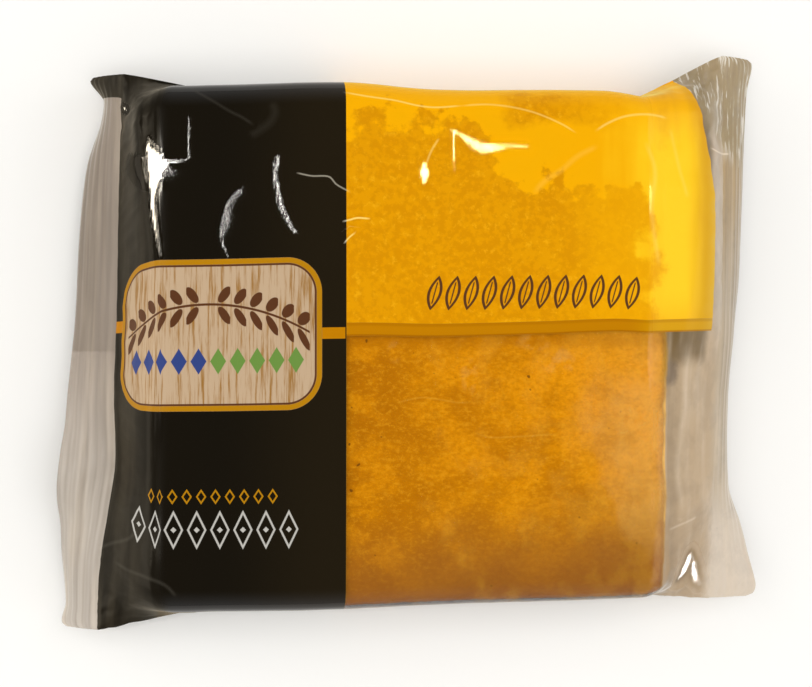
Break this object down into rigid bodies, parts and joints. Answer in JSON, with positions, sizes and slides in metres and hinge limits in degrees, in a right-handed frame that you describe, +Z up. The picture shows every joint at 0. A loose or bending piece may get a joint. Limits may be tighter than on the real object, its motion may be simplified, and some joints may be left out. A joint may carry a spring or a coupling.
{
  "type": "wrapped cornbread square",
  "caption": "Square slab of cornbread sealed in a flow-wrapped film pack, lying flat, with ribbed end seals and flared corner ears.",
  "frame": {"origin": "middle of the base of the bounding box", "axes": "+X along the pack from one end seal to the other, +Y across the pack, +Z up, out of the printed face"},
  "size_m": [0.1278, 0.1022, 0.0207],
  "materials": {
    "printed_film": "gloss",
    "clear_film": "gloss",
    "bread": "matte"
  },
  "bodies": {
    "root": {"sealed_pack": "printed_film"}
  },
  "joints": []
}
